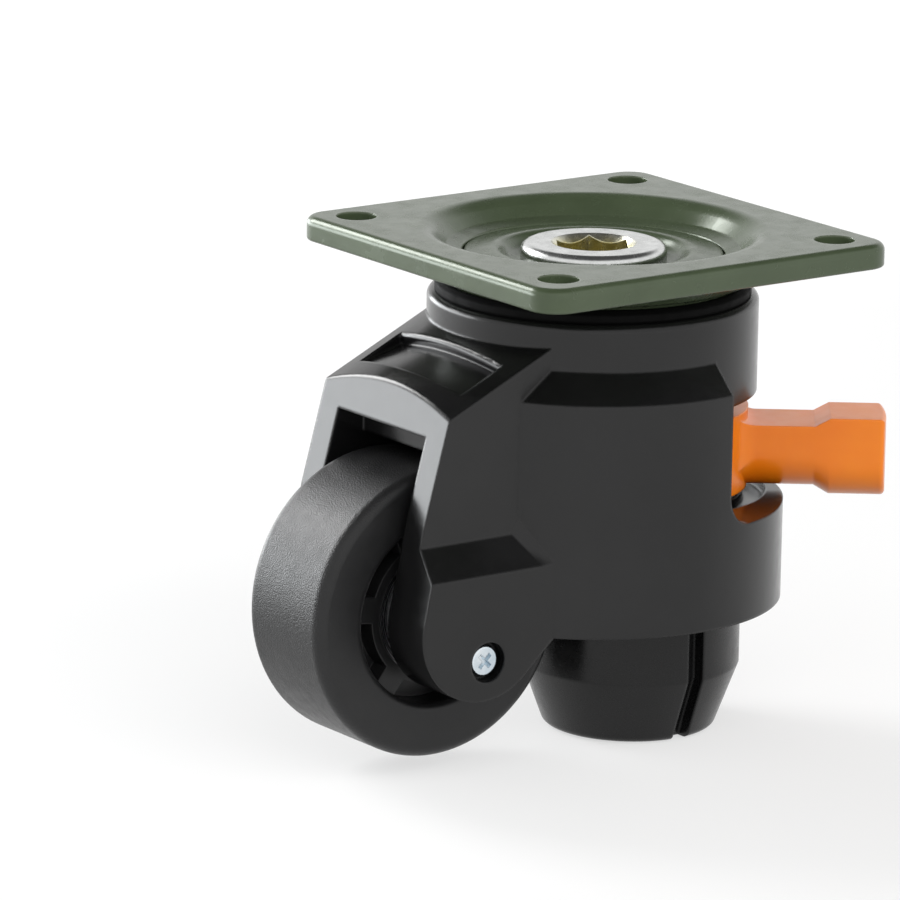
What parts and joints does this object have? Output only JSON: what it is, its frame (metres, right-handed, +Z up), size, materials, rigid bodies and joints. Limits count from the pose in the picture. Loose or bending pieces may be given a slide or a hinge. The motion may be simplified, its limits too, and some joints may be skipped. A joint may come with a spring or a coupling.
{
  "type": "levelling castor",
  "caption": "Swivelling levelling castor: square top plate, forked housing with a wheel, and a screw foot wound down by a ratchet lever to lift the wheel clear.",
  "frame": {"origin": "centre of the mounting plate's top face, on the swivel axis", "axes": "+Z up out of the plate; the wheel lies towards -X with its axle along Y; the foot and lever lie towards +X"},
  "size_m": [0.1105, 0.073, 0.0883],
  "materials": {
    "plate": "satin yellow-green passivated steel",
    "zinc": "zinc plated steel",
    "hardened_steel": "ground hardened steel",
    "ball_steel": "polished",
    "housing": "black, lightly grained, semi-gloss",
    "wheel": "black, finely grained, satin",
    "lever": "orange, smooth",
    "gear": "machined steel",
    "foot": "black, satin",
    "seal": "matt"
  },
  "bodies": {
    "plate": {"mounting_plate": "plate"},
    "housing": {"housing": "housing", "race_washer": "plate", "dust_seal": "seal", "lower_race": "hardened_steel", "upper_balls": "ball_steel", "lower_balls": "ball_steel", "kingpin_bolt": "zinc", "kingpin_sleeve": "zinc", "kingpin_insert": "zinc", "axle": "zinc", "bearing_spacer": "zinc", "lever_washer": "zinc", "thrust_upper_race": "hardened_steel", "thrust_balls": "ball_steel", "near_bearing_inner_ring": "hardened_steel", "far_bearing_inner_ring": "hardened_steel", "near_axle_spacer": "zinc", "far_axle_spacer": "zinc", "near_keeper_screw": "zinc", "far_keeper_screw": "zinc"},
    "wheel": {"wheel": "wheel", "near_bearing_outer_ring": "hardened_steel", "far_bearing_outer_ring": "hardened_steel", "near_bearing_balls": "ball_steel", "far_bearing_balls": "ball_steel", "near_bearing_shield": "hardened_steel", "far_bearing_shield": "hardened_steel"},
    "lever": {"ratchet_lever": "lever", "pawl_spring": "zinc"},
    "pawl": {"pawl": "zinc"},
    "gear": {"ratchet_gear": "gear", "thrust_lower_race": "hardened_steel"},
    "foot": {"foot_stem": "zinc", "foot_shoe": "foot"}
  },
  "joints": [
    {"name": "swivel", "type": "hinge", "parent": "plate", "child": "housing", "pos_m": [0, 0, 0], "axis": [0, 0, 1], "continuous": true},
    {"name": "wheel_spin", "type": "hinge", "parent": "housing", "child": "wheel", "pos_m": [-0.0384, 0, -0.0598], "axis": [0, 1, 0], "continuous": true},
    {"name": "lever_swing", "type": "hinge", "parent": "housing", "child": "lever", "pos_m": [0.0095, 0, -0.0386], "axis": [0, 0, 1], "range_deg": [-36, 108]},
    {"name": "pawl_slide", "type": "slide", "parent": "lever", "child": "pawl", "axis": [-0.7986, 0.6018, 0], "range_m": [0, 0.0014]},
    {"name": "gear_turn", "type": "hinge", "parent": "housing", "child": "gear", "pos_m": [0.0095, 0, -0.0386], "axis": [0, 0, 1], "range_deg": [-540, 1620]},
    {"name": "foot_lift", "type": "slide", "parent": "housing", "child": "foot", "axis": [0, 0, 1], "range_m": [-0.0031, 0.0091]}
  ],
  "couplings": [
    {"joint": "foot_lift", "follows": "gear_turn", "m_per_rad": 0.00031831}
  ]
}
